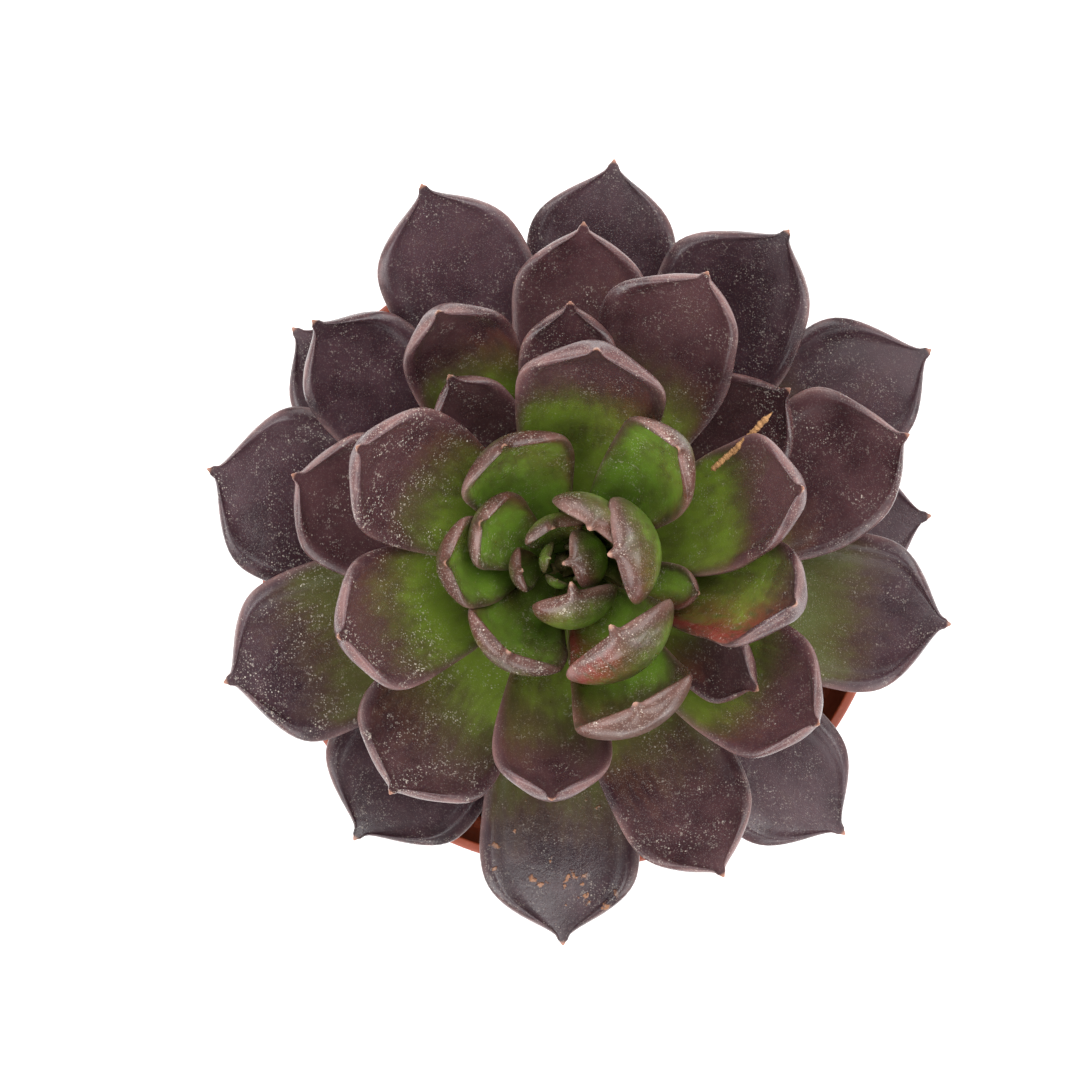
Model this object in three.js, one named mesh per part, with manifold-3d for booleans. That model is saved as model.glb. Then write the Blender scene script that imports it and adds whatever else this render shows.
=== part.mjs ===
// A rosette succulent in a round plastic nursery pot, in millimetres, +Z up.
// The origin is the centre of the pot's foot, on the surface it stands on.
// The leaves are grown from the oldest to the youngest. Each starts at the height and slope that its place
// on the stem gives it, and then moves as little as it can to lie clear of all that stands there already.
import * as THREE from "three";
import { mergeVertices } from "three/addons/utils/BufferGeometryUtils.js";
import Module from "manifold-3d";

const wasm = await Module();
wasm.setup();

// ---- Driving dimensions ----

const GAP = 0.3; // between pieces that touch
const LEAF_GAP = 0.35; // between one leaf and the next

const POT = {
  height: 93,
  topRadius: 51.6,
  baseRadius: 37.4,
  wall: 1.1,
  floor: 1.5,
  collarHeight: 13,
  collarStep: 1.3,
  lipHeight: 1.6,
  lipReach: 0.5,
  footHeight: 2.5,
  footWidth: 4,
  sides: 56,
};

const DRAIN = { count: 8, radius: 4, circle: 23, sides: 16 };

// The soil's top is a low mound. shoulder is where its slope changes, as shares of its reach and crown.
const SOIL = { headspace: 11, crown: 3, shoulder: [0.6, 0.4], sides: 40 };

// The stem stands a little to one side of the pot's middle.
const STEM = {
  offset: [-1.9, -0.9],
  rootDepth: 16,
  rootRadius: 4,
  radius: 6.5,
  firstLeafOverRim: 2,
  leafZone: 34,
  tipRadius: 1.2,
  taperPower: 1.3, // above 1, the stem keeps its width low down and thins near its tip
  rings: 6,
  sides: 20,
};

const SPINE = 1.6; // the small sharp point that ends a full-grown leaf
const FULL_WIDTH = 12; // from this width on, a leaf bears a full spine
const BASE_SHARE = 0.28; // width at the stem over the largest width
const THICKNESS_SHARE = { outer: 0.2, middle: 0.175, inner: 0.17, bud: 0.17 }; // of the leaf's width
const LEAST_THICKNESS = 1.1;
const WIDEST_AT = { outer: 0.69, middle: 0.7, inner: 0.76, bud: 0.7 }; // shares of the length
const SWELL_POWER = 1.15; // above 1, a leaf stays narrow for longer before it swells
const END_POWER = 0.6; // below 1, a leaf's end is blunter than a cosine's
const FULLNESS = { start: 0.1, rate: 0.7, thinsFrom: 0.6, tip: 0.12, power: 1.6 }; // see fullness()
const CUPPED_BY = 0.4; // share of the length over which the cup comes in
const ROLLED_BY = 0.5; // share of the length over which the roll comes in
const RIB_STEPS = 120;

// Stations along a leaf, as shares of its length, and the points of one section, which run round it from
// its left margin over the upper face. Each point is [share of the half width, share of the thickness].
const STATIONS = [0, 0.15, 0.34, 0.52, 0.67, 0.79, 0.88, 0.945, 0.985];
const SECTION = [
  [1, -0.3],
  [0.87, 0.08],
  [0.38, 0],
  [-0.38, 0],
  [-0.87, 0.08],
  [-1, -0.3],
  [-0.82, -0.72],
  [-0.36, -0.98],
  [0.36, -0.98],
  [0.82, -0.72],
];
const UNDERSIDE = -0.5; // section points below this share of the thickness lie on the underside

// The leaves, oldest first. Azimuth is counted from +X towards +Y. rise and tipRise are the midrib's
// slopes at the stem and at the tip, sweep its turn to the left, roll lifts the left margin, and cup is
// how far the margins stand above the midrib, as a share of the half width. Lengths are in millimetres
// and angles in degrees.
const COLUMNS = ["azimuth", "length", "width", "rise", "tipRise", "sweep", "roll", "cup"];
const LEAVES = {
  outer: [
    [142, 50.5, 21, 1, 6, -6, 0, 0.05],
    [7, 52.5, 22, 0, 4, 0, 0, 0.05],
    [314, 56, 24, 3, 10, 4, 0, 0.05],
    [233, 49, 27, 5, 16, 0, 0, 0.08],
    [82, 58, 24, 7, 15, 2, 0, 0.06],
    [30, 61, 24, 8, 16, 0, 0, 0.06],
    [169, 52.5, 28.5, 10, 20, -8, 0, 0.08],
    [109, 59, 24, 12, 24, 4, 0, 0.08],
    [268, 55, 25, 11, 22, 4, 0, 0.1],
    [349, 56.5, 25, 13, 24, 4, 0, 0.1],
    [199.5, 52.5, 27, 13, 26, 0, 0, 0.1],
    [56, 58.5, 25, 15, 28, 0, 0, 0.1],
    [138, 51, 21, 17, 32, -4, 0, 0.1],
  ],
  middle: [
    [16, 54.5, 24, 19, 34, 10, 0, 0.12],
    [86, 50.5, 21, 20, 36, 2, 0, 0.12],
    [295, 52.5, 21, 20, 36, 4, 0, 0.14],
    [232, 44.5, 24, 24, 46, 2, 0, 0.15],
    [169, 43.5, 22, 24, 42, -16, 0, 0.14],
    [36, 43, 18, 26, 40, 4, 0, 0.12],
    [325, 50, 21, 27, 60, 6, 0, 0.2],
    [64, 51.5, 22, 28, 46, 0, 0, 0.14],
    [117, 50, 18, 26, 74, 0, 0, 0.2],
    [89, 42, 15, 31, 44, 0, 0, 0.12],
    [265, 42, 18, 33, 66, 4, 0, 0.2],
    [122, 36, 13, 36, 46, 0, 0, 0.15],
    [329, 36, 13, 32, 42, -6, 25, 0.2],
    [350, 52, 18, 36, 74, 0, -25, 0.3],
    [151, 47, 21, 38, 60, 0, 0, 0.2],
    [198, 44, 21, 37, 64, 0, 0, 0.2],
    [16, 49, 19, 42, 66, 4, -20, 0.25],
    [82, 47, 22, 43, 78, 0, 0, 0.25],
  ],
  inner: [
    [296, 45, 19, 35, 122, 0, 0, 0.3],
    [46, 43, 16, 44, 80, 0, -15, 0.3],
    [347, 27, 7, 48, 54, 0, 0, 0.15],
    [118, 32, 18, 50, 78, 0, 0, 0.25],
    [237, 27, 17, 42, 104, 0, 0, 0.35],
    [180, 28, 14, 46, 78, 0, 0, 0.35],
    [305, 37, 19, 42, 146, 0, 0, 0.35],
    [12, 37, 16, 42, 122, 0, 0, 0.35],
    [57, 32, 13.5, 46, 98, 0, 0, 0.35],
    [155, 23, 12.5, 52, 78, 0, 0, 0.25],
    [190, 14, 7, 54, 112, 0, 0, 0.3],
    [284, 21, 13, 56, 152, 0, 0, 0.35],
    [12, 19, 9, 60, 146, 0, 0, 0.35],
    [110, 13.5, 9.5, 58, 96, 0, 0, 0.3],
  ],
  bud: [
    [164, 9, 5, 68, 106, 0, 0, 0.25],
    [245, 7, 4, 74, 108, 0, 0, 0.25],
    [330, 6, 3.5, 78, 108, 0, 0, 0.25],
    [60, 5, 3, 82, 106, 0, 0, 0.25],
  ],
};

const TWIG = {
  length: 13,
  radius: 0.55,
  tipRadius: 0.4,
  sides: 8,
  middle: [26, 18],
  turn: 44,
  slope: 20,
  dropStep: 0.25,
};

const RIM = POT.height;
const COLLAR_FOOT = RIM - POT.collarHeight;
const FLOOR_TOP = POT.footHeight + POT.floor;
const SOIL_TOP = RIM - SOIL.headspace;
const FIRST_LEAF = RIM + STEM.firstLeafOverRim;
const APEX = FIRST_LEAF + STEM.leafZone;
const LEAF_COUNT = Object.values(LEAVES).flat().length;

// ---- Materials ----

const material = (color, roughness) =>
  new THREE.MeshStandardMaterial({ color, roughness, metalness: 0 });
const MATERIALS = {
  pot: material(0xb4532f, 0.45),
  soil: material(0x2a201a, 0.95),
  stem: material(0x6d6a3c, 0.7),
  outer: material(0x4b383d, 0.5),
  middle: material(0x544440, 0.5),
  inner: material(0x56683a, 0.45),
  bud: material(0x4c7a2c, 0.45),
  twig: material(0xb08a5a, 0.8),
};

const radians = THREE.MathUtils.degToRad;

// ---- Solids, for joining and cutting ----

function solidOf(geometry, matrix = new THREE.Matrix4()) {
  const bare = geometry.clone();
  bare.deleteAttribute("normal");
  bare.deleteAttribute("uv");
  bare.applyMatrix4(matrix);
  const merged = mergeVertices(bare, 1e-4);
  return new wasm.Manifold(
    new wasm.Mesh({
      numProp: 3,
      vertProperties: merged.attributes.position.array,
      triVerts: new Uint32Array(merged.index.array),
    }),
  );
}

function geometryOf(solid) {
  const mesh = solid.getMesh();
  const geometry = new THREE.BufferGeometry();
  geometry.setAttribute("position", new THREE.BufferAttribute(mesh.vertProperties, 3));
  geometry.setIndex(new THREE.BufferAttribute(mesh.triVerts, 1));
  geometry.computeVertexNormals();
  return geometry;
}

// A solid of revolution about +Z, from [radius, height] points that start and end on the axis and run
// round the outside with the axis on their left.
function turned(profile, sides) {
  const points = profile.map(([r, z]) => new THREE.Vector2(r, z));
  return new THREE.LatheGeometry(points, sides).rotateX(Math.PI / 2);
}

// ---- The pot ----

// Outer radius of the tapered body at a height, below the collar.
const potRadius = (z) =>
  THREE.MathUtils.lerp(POT.baseRadius, POT.topRadius - POT.collarStep, z / RIM);

// Radius of the inner wall at a height, between the floor and the collar.
function wellRadius(z) {
  const top = COLLAR_FOOT + POT.wall;
  const share = (z - FLOOR_TOP) / (top - FLOOR_TOP);
  return THREE.MathUtils.lerp(potRadius(FLOOR_TOP), potRadius(COLLAR_FOOT), share) - POT.wall;
}

function potGeometry() {
  const collarTop = COLLAR_FOOT + POT.wall;
  const collarInner = POT.topRadius - POT.lipReach - POT.wall;
  const shell = turned(
    [
      [0, POT.footHeight],
      [POT.baseRadius - POT.footWidth, POT.footHeight],
      [POT.baseRadius - POT.footWidth + POT.footHeight / 2, 0],
      [POT.baseRadius, 0],
      [potRadius(COLLAR_FOOT), COLLAR_FOOT],
      [potRadius(COLLAR_FOOT) + POT.collarStep, collarTop],
      [POT.topRadius - POT.lipReach, RIM - POT.lipHeight],
      [POT.topRadius, RIM - POT.lipHeight],
      [POT.topRadius, RIM],
      [collarInner, RIM],
      [wellRadius(collarTop) + POT.collarStep, collarTop + POT.wall],
      [wellRadius(collarTop), collarTop],
      [wellRadius(FLOOR_TOP), FLOOR_TOP],
      [0, FLOOR_TOP],
    ],
    POT.sides,
  );
  const hole = new THREE.CylinderGeometry(DRAIN.radius, DRAIN.radius, 4 * FLOOR_TOP, DRAIN.sides);
  hole.rotateX(Math.PI / 2);
  let solid = solidOf(shell);
  for (let i = 0; i < DRAIN.count; i++) {
    const turn = (i / DRAIN.count) * 2 * Math.PI;
    const place = new THREE.Matrix4().makeTranslation(
      DRAIN.circle * Math.cos(turn),
      DRAIN.circle * Math.sin(turn),
      0,
    );
    solid = solid.subtract(solidOf(hole, place));
  }
  return geometryOf(solid);
}

// ---- The stem and the soil ----

function stemRadius(z) {
  const share = THREE.MathUtils.clamp((z - FIRST_LEAF) / STEM.leafZone, 0, 1);
  return THREE.MathUtils.lerp(STEM.radius, STEM.tipRadius, share ** STEM.taperPower);
}

function stemGeometry() {
  const zone = Array.from({ length: STEM.rings + 1 }, (_, i) => {
    const z = FIRST_LEAF + (i / STEM.rings) * STEM.leafZone;
    return [stemRadius(z), z];
  });
  const bottom = SOIL_TOP - STEM.rootDepth;
  return turned(
    [
      [0, bottom],
      [STEM.rootRadius, bottom],
      [STEM.radius, SOIL_TOP],
      ...zone,
      [0, APEX + STEM.tipRadius],
    ],
    STEM.sides,
  );
}

// The soil fills the pot below its headspace and closes round the stem. The pot's wall is made of flats,
// so the soil keeps its gap from the middle of a flat.
function soilGeometry() {
  const bed = FLOOR_TOP + GAP;
  const reach = (z) => wellRadius(z) * Math.cos(Math.PI / POT.sides) - GAP;
  const edge = SOIL_TOP - SOIL.crown;
  const [shoulderReach, shoulderDrop] = SOIL.shoulder;
  const solid = solidOf(
    turned(
      [
        [0, bed],
        [reach(bed), bed],
        [reach(edge), edge],
        [shoulderReach * reach(edge), SOIL_TOP - shoulderDrop * SOIL.crown],
        [0, SOIL_TOP],
      ],
      SOIL.sides,
    ),
  );
  const bottom = SOIL_TOP - STEM.rootDepth - GAP;
  const well = turned(
    [
      [0, bottom],
      [STEM.rootRadius + GAP, bottom],
      [STEM.radius + GAP, SOIL_TOP],
      [STEM.radius + GAP, RIM],
      [0, RIM],
    ],
    STEM.sides,
  );
  const place = new THREE.Matrix4().makeTranslation(...STEM.offset, 0);
  return geometryOf(solid.subtract(solidOf(well, place)));
}

// ---- A leaf ----

// Half width over its largest value, at a share of the length.
function outline(t, widestAt) {
  if (t < widestAt) {
    const swell = Math.sin(((t / widestAt) * Math.PI) / 2) ** SWELL_POWER;
    return THREE.MathUtils.lerp(BASE_SHARE, 1, swell);
  }
  return Math.cos((((t - widestAt) / (1 - widestAt)) * Math.PI) / 2) ** END_POWER;
}

// Thickness over its largest value. A leaf swells from its foot along a sine, and past thinsFrom it thins
// along a cosine to its tip's share.
function fullness(t) {
  const { start, rate, thinsFrom, tip, power } = FULLNESS;
  const swell = Math.sin(Math.PI * Math.min(0.5, start + rate * t));
  const late = Math.max(0, (t - thinsFrom) / (1 - thinsFrom));
  const fall = Math.cos((Math.PI / 2) * late ** power);
  return swell * THREE.MathUtils.lerp(tip, 1, fall);
}

// Points down the midrib from the stem, each with its heading and slope. The slope grows with the square
// of the distance, so a leaf turns up most towards its tip.
function midrib(leaf) {
  const points = [];
  const at = new THREE.Vector3();
  const step = leaf.length / RIB_STEPS;
  for (let i = 0; i <= RIB_STEPS; i++) {
    const t = i / RIB_STEPS;
    const slope = radians(leaf.rise + (leaf.tipRise - leaf.rise) * t * t);
    const heading = radians(leaf.sweep) * t;
    const along = new THREE.Vector3(
      Math.cos(slope) * Math.cos(heading),
      Math.cos(slope) * Math.sin(heading),
      Math.sin(slope),
    );
    points.push({ at: at.clone(), along, heading });
    at.addScaledVector(along, step);
  }
  return points;
}

// A leaf that starts at the origin and grows along +X. grow thickens it all round, to test clearances.
function leafGeometry(leaf, grow = 0) {
  const rib = midrib(leaf);
  const thickness = Math.max(LEAST_THICKNESS, leaf.thicknessShare * leaf.width);
  const vertices = [];
  for (const t of STATIONS) {
    const { at, along, heading } = rib[Math.round(t * RIB_STEPS)];
    const level = new THREE.Vector3(-Math.sin(heading), Math.cos(heading), 0);
    const turn = radians(leaf.roll) * THREE.MathUtils.smoothstep(t, 0, ROLLED_BY);
    const left = level.clone().applyAxisAngle(along, turn);
    const up = new THREE.Vector3().crossVectors(along, left);
    const half = (leaf.width / 2) * outline(t, leaf.widestAt) + grow;
    const thick = thickness * fullness(t);
    const cup = leaf.cup * THREE.MathUtils.smoothstep(t, 0, CUPPED_BY);
    for (const [across, through] of SECTION) {
      const outward = through < UNDERSIDE ? -grow : grow;
      const high = thick * through + outward + cup * half * across ** 2;
      vertices.push(at.clone().addScaledVector(left, half * across).addScaledVector(up, high));
    }
  }
  const around = SECTION.length;
  const last = STATIONS.length - 1;
  const end = rib.at(-1);
  const start = vertices.slice(0, around).reduce((sum, v) => sum.add(v), new THREE.Vector3());
  vertices.push(start.divideScalar(around));
  const spineFoot = vertices
    .slice(last * around, (last + 1) * around)
    .reduce((sum, v) => sum.add(v), new THREE.Vector3())
    .divideScalar(around);
  vertices.push(spineFoot.addScaledVector(end.along, SPINE * Math.min(1, leaf.width / FULL_WIDTH) + grow));
  const startAt = vertices.length - 2;
  const tipAt = vertices.length - 1;
  const faces = [];
  for (let j = 0; j < around; j++) {
    const next = (j + 1) % around;
    faces.push(startAt, next, j);
    for (let k = 0; k < last; k++) {
      const [a, b] = [k * around + j, k * around + next];
      const [c, d] = [a + around, b + around];
      faces.push(a, b, d, a, d, c);
    }
    faces.push(last * around + j, last * around + next, tipAt);
  }
  const geometry = new THREE.BufferGeometry();
  geometry.setAttribute(
    "position",
    new THREE.Float32BufferAttribute(vertices.flatMap((v) => v.toArray()), 3),
  );
  geometry.setIndex(faces);
  geometry.computeVertexNormals();
  return geometry;
}

// ---- The plant, in its own group, with the stem's foot at the group's origin ----

function named(name, geometry, look) {
  const mesh = new THREE.Mesh(geometry, MATERIALS[look]);
  mesh.name = name;
  return mesh;
}

// The ways in which a leaf can give, the smallest first. Lifts are in millimetres and tilts in degrees;
// a leaf goes down or lies flatter less readily than it goes up or stands steeper.
const GIVE = { down: 2, up: 15, liftStep: 0.5, flatter: 6, steeper: 30, tiltStep: 1.5 };
const RELUCTANCE = 3;
const DEGREES_PER_LIFT = 3; // tilt that costs a leaf as much as one millimetre of lift
const GROWTHS = [1, 0.9, 0.8, 0.7, 0.6, 0.5, 0.4]; // a leaf with no room at its full size stays smaller

function waysToGive() {
  const ways = [];
  for (let lift = -GIVE.down; lift <= GIVE.up; lift += GIVE.liftStep)
    for (let tilt = -GIVE.flatter; tilt <= GIVE.steeper; tilt += GIVE.tiltStep) {
      const lifting = lift < 0 ? -lift * RELUCTANCE : lift;
      const tilting = tilt < 0 ? -tilt * RELUCTANCE : tilt;
      ways.push({ lift, tilt, effort: lifting + tilting / DEGREES_PER_LIFT });
    }
  return ways.sort((a, b) => a.effort - b.effort);
}

const LEAST_OVERLAP = 1e-3; // cubic millimetres

function meets(a, b) {
  const [p, q] = [a.boundingBox(), b.boundingBox()];
  if ([0, 1, 2].some((i) => p.min[i] > q.max[i] || p.max[i] < q.min[i])) return false;
  return a.intersect(b).volume() > LEAST_OVERLAP;
}

// Puts a leaf's foot on the stem at its height, and moves it the least that clears every neighbour. The
// foot never goes past the stem's top.
function settle(mesh, leaf, foot, ways, neighbours) {
  const tester = solidOf(leafGeometry(leaf, LEAF_GAP));
  const turn = radians(leaf.azimuth);
  mesh.rotation.order = "ZYX";
  for (const growth of GROWTHS)
    for (const { lift, tilt } of ways) {
      if (foot + lift > APEX) continue;
      const away = stemRadius(foot + lift) + GAP + LEAF_GAP;
      mesh.scale.setScalar(growth);
      mesh.position.set(away * Math.cos(turn), away * Math.sin(turn), foot + lift);
      mesh.rotation.set(0, -radians(tilt), turn);
      mesh.updateMatrix();
      const trial = tester.transform(mesh.matrix.toArray());
      const hit = neighbours.findIndex((solid) => meets(trial, solid));
      if (hit < 0) return;
      neighbours.unshift(...neighbours.splice(hit, 1)); // the likeliest to be met again comes first
    }
  throw new Error(`${mesh.name} finds no room`);
}

function growLeaves(plant, obstacles) {
  const neighbours = [...obstacles];
  const ways = waysToGive();
  const internode = STEM.leafZone / LEAF_COUNT;
  let count = 0;
  for (const [ring, rows] of Object.entries(LEAVES)) {
    rows.forEach((row, i) => {
      const leaf = Object.fromEntries(COLUMNS.map((key, c) => [key, row[c]]));
      leaf.widestAt = WIDEST_AT[ring];
      leaf.thicknessShare = THICKNESS_SHARE[ring];
      const mesh = named(`${ring}_leaf_${String(i + 1).padStart(2, "0")}`, leafGeometry(leaf), ring);
      settle(mesh, leaf, FIRST_LEAF + internode * count, ways, neighbours);
      neighbours.unshift(solidOf(mesh.geometry, mesh.matrix));
      plant.add(mesh);
      count += 1;
    });
  }
  return neighbours;
}

// A dry twig that has fallen on the leaves: it comes down from above until it nearly touches them.
function layTwig(plant, neighbours) {
  const shape = new THREE.CylinderGeometry(TWIG.tipRadius, TWIG.radius, TWIG.length, TWIG.sides);
  shape.rotateZ(-Math.PI / 2);
  const mesh = named("dry_twig", shape, "twig");
  mesh.rotation.order = "ZYX";
  mesh.rotation.set(0, -radians(TWIG.slope), radians(TWIG.turn));
  const clear = (z) => {
    mesh.position.set(...TWIG.middle, z);
    mesh.updateMatrix();
    const trial = solidOf(shape, mesh.matrix);
    return !neighbours.some((solid) => meets(trial, solid));
  };
  let z = APEX + STEM.leafZone;
  while (clear(z - TWIG.dropStep) && z > RIM) z -= TWIG.dropStep;
  clear(z);
  plant.add(mesh);
}

const stem = named("stem", stemGeometry(), "stem");
const pot = named("nursery_pot", potGeometry(), "pot");
const soil = named("potting_soil", soilGeometry(), "soil");

const plant = new THREE.Group();
plant.position.set(...STEM.offset, 0);
plant.add(stem);
const potInPlant = new THREE.Matrix4().makeTranslation(-STEM.offset[0], -STEM.offset[1], 0);
const standing = growLeaves(plant, [solidOf(stem.geometry), solidOf(pot.geometry, potInPlant)]);
layTwig(plant, standing);

const succulent = new THREE.Group();
succulent.add(pot, soil, plant);

export default succulent;
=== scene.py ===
# The looks of a rosette succulent in a plastic nursery pot, in metres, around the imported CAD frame.
# Each leaf is rebuilt as a smooth, fleshy surface from the sections of its CAD node, and the pot, soil,
# stem and twig from the sizes of theirs.
import math

import bpy
import numpy as np
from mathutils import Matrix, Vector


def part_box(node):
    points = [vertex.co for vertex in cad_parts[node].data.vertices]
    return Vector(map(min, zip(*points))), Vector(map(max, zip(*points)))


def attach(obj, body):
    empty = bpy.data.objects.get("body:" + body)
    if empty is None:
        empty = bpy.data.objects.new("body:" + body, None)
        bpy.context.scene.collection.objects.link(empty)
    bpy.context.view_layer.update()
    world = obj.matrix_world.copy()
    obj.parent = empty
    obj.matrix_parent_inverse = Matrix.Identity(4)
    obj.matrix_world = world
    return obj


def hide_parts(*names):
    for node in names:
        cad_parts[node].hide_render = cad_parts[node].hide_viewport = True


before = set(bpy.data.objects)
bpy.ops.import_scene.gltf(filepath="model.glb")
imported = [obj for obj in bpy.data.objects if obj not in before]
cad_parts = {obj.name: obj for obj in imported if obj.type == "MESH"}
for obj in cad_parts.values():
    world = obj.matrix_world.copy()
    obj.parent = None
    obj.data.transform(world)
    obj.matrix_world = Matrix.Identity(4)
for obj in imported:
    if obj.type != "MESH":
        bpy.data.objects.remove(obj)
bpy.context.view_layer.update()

MM = 0.001
SAME = 0.01 * MM  # heights and radii that differ by less are the same

# ---- Sizes of the detail that the CAD leaves out ----

# A leaf. Across it, a share runs from 0 on its midline to 1 at its margins.
AROUND = 10  # points in one section of a CAD leaf
SECTION_POINTS = 44  # and of the same section here
SECTIONS = 46
FOOT = 1.2 * MM  # how far a leaf's foot reaches back into the stem
FLAT_AT = 0.3  # how far below the upper face a CAD leaf's margin lies, as a share of its thickness
DEPTH = 0.98  # the lower face's depth on the same scale
FLAT_REACH = 0.38  # where the CAD's inner section points lie across a leaf
UPPER_POWER, LOWER_POWER = 4.2, 2.2  # the section's superellipses; a high power is boxy
RIM_HEIGHT, RIM_AT, RIM_WIDTH = 0.15, 0.84, 0.1  # the low swelling inside each margin
TIP_CROWDING = 1.7  # above 1, sections stand closer together towards the tip
TIP_GAP = 0.02 * MM  # from the last section to the tip
TIP_HALF_WIDTH = 0.05 * MM  # of a leaf's point at its very end
POINT_SPREAD = 1.5  # the point widens over its own length times this
POINT_DEPTH = 1.3  # the point's thickness over half its width
POINT_ROUNDING = (-0.2 * MM, 0.8 * MM)  # from the tip, where that thickness comes in
BARE_POINT, BARE_SLACK = 0.6 * MM, 0.1 * MM  # this near the tip, the blade adds no more than the slack
THIN_REACH, THIN_END = 4 * MM, 0.15  # how far before its tip a leaf thins, and to what share
RIPPLE, RIPPLE_FREE = 0.12 * MM, 12 * MM  # its height, and how near the tip it begins to fade
WIDTH_RIPPLE = 0.014  # share of the width
FACE_WAVES, SHORT_WAVES, EDGE_WAVES, WIDTH_WAVES = 1.6, 3.7, 2.9, 2.2  # to a leaf's length

# The bands on a leaf that have a colour of their own; at the margin and the edge that colour is partly a
# painted highlight.
MARGIN_REACH, EDGE_REACH, POINT_REACH = 1.5 * MM, 0.05, 0.8 * MM  # EDGE_REACH is a share across
FACE_CHANGE = 0.35  # how far into each face the change from one to the other reaches
RED_SIDE = (-0.2, 0.7)  # across a leaf, from where none is red to where all may be

# The pot.
POT_SEGMENTS = 192
UNDERCUT = 0.5 * MM  # how far the pot's collar steps in under its rim
HOLE_ZONE = (0.2, 0.61)  # where the drain holes' edges lie, as shares of the pot's radius
HOLE_PLACES = 8  # evenly spaced directions, of which the holes take some or all
HOLE_SIDES = 40  # sides of each hole's cutter, turned by half a side to keep off the pot's own edges
CUTTER_LENGTH = 30 * MM
SHARP_ANGLE = math.radians(40)

# The soil. Its mound's slope runs between these shares of the way in from its edge.
MOUND = (-0.2, 1.1)
SOIL_SEGMENTS, SOIL_RINGS, SOIL_SIDE_RINGS = 180, 60, 12
SOIL_BED = (0, 0.3, 0.6, 0.9)  # rings of its underside, as shares of that side's radius
LUMPS = 0.8 * MM
LUMP_FREE = 3 * MM  # the lumps fade this near the pot's wall
CRUMBS, CRUMB_STRETCH = 520, (0.6, 1.2)
CRUMB_SIZE = (0.35, 1.1)  # radii in millimetres
CRUMB_CLEARANCE, CRUMB_SINK = 1.5 * MM, 0.2 * MM
FIBRES = 46
FIBRE_LENGTH, FIBRE_RADIUS, FIBRE_LIFT = (5, 15), (0.07, 0.16), (0.2, 2.0)  # in millimetres
FIBRE_ZONE = (0.62, 0.93)  # where fibres start, as shares of the soil's radius
FIBRE_CLEARANCE, FIBRE_HEIGHT = 1.2 * MM, 0.7 * MM  # to the pot's wall, and over the soil's edge

# The stem and the twig.
STEM_SEGMENTS, STEM_RINGS, STEM_TIP = 64, 90, 0.3 * MM
SCAR_DEPTH, BARK_DEPTH = 0.25, 0.12  # in millimetres
TWIG_ROWS, TWIG_SIDES = 120, 14
TWIG_BOW, TWIG_WAVE = 0.25 * MM, 0.04 * MM
TWIG_GIRTH = 0.9  # its radius at a knot over the CAD twig's
TWIG_NOTCHES = 0.22  # their depth, as a share of the radius

# ---- How each leaf is coloured ----

# green is how far the green of its upper face reaches from the foot, as a share of the length, and under
# the same for its lower face. soft is the width of the change to purple. dust, red (on the right half),
# scab and rim (how purple the margin is, with the highlight painted along it) run from 0 to 1.
RING_LOOKS = {
    "outer": dict(green=0.42, under=0.35, soft=0.45, dust=0.35, red=0.0, rim=0.8, scab=0.0),
    "middle": dict(green=0.58, under=0.4, soft=0.4, dust=0.5, red=0.1, rim=0.9, scab=0.0),
    "inner": dict(green=1.05, under=0.92, soft=0.55, dust=0.8, red=0.25, rim=0.85, scab=0.0),
    "bud": dict(green=1.3, under=1.15, soft=0.4, dust=0.3, red=0.0, rim=0.4, scab=0.0),
}
OWN_LOOKS = {
    "outer_leaf_02": dict(green=0.5),
    "outer_leaf_04": dict(green=0.25),
    "outer_leaf_05": dict(green=0.25),
    "outer_leaf_06": dict(green=0.55),
    "outer_leaf_07": dict(green=0.3, dust=0.6),
    "outer_leaf_08": dict(green=0.4),
    "outer_leaf_09": dict(green=0.6, soft=0.6, scab=1.0),
    "outer_leaf_10": dict(green=0.72, soft=0.4),
    "outer_leaf_11": dict(green=0.7, soft=0.5, dust=0.8),
    "outer_leaf_12": dict(green=0.45),
    "middle_leaf_01": dict(green=0.55, soft=0.35),
    "middle_leaf_02": dict(green=0.3),
    "middle_leaf_03": dict(green=0.56, soft=0.5),
    "middle_leaf_04": dict(green=0.66, soft=0.6, dust=0.8),
    "middle_leaf_05": dict(green=0.4, dust=0.6),
    "middle_leaf_06": dict(green=0.45),
    "middle_leaf_07": dict(green=0.72, soft=0.35),
    "middle_leaf_08": dict(green=0.58),
    "middle_leaf_09": dict(green=0.7, red=0.2),
    "middle_leaf_10": dict(green=0.3, red=0.3),
    "middle_leaf_11": dict(green=0.64, soft=0.6),
    "middle_leaf_12": dict(green=0.3, red=0.3),
    "middle_leaf_13": dict(green=0.6, soft=0.4, red=0.3),
    "middle_leaf_14": dict(green=0.85, soft=0.4, red=1.0),
    "middle_leaf_15": dict(green=0.62, soft=0.5, dust=0.9),
    "middle_leaf_16": dict(green=0.7, soft=0.5, dust=1.0),
    "middle_leaf_17": dict(green=0.7, soft=0.25),
    "middle_leaf_18": dict(green=0.68, soft=0.3, red=0.2),
    "inner_leaf_01": dict(under=0.6, green=0.7),
    "inner_leaf_03": dict(under=1.0, red=0.5),
    "inner_leaf_07": dict(red=1.0),
    "inner_leaf_14": dict(green=1.1, under=0.95),
}


def srgb(red, green, blue):
    """Linear colour from screen values out of 255."""
    def linear(value):
        value /= 255
        return value / 12.92 if value <= 0.04045 else ((value + 0.055) / 1.055) ** 2.4
    return (linear(red), linear(green), linear(blue), 1.0)


def smooth(value, low, high):
    """0 below low, 1 above high, and a smooth rise between."""
    share = np.clip((value - low) / (high - low), 0, 1)
    return share * share * (3 - 2 * share)


def bell(offset, width):
    """1 where offset is 0, and a smooth fall on both sides, to about a third at width."""
    return np.exp(-((offset / width) ** 2))


# ---- Meshes ----


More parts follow.
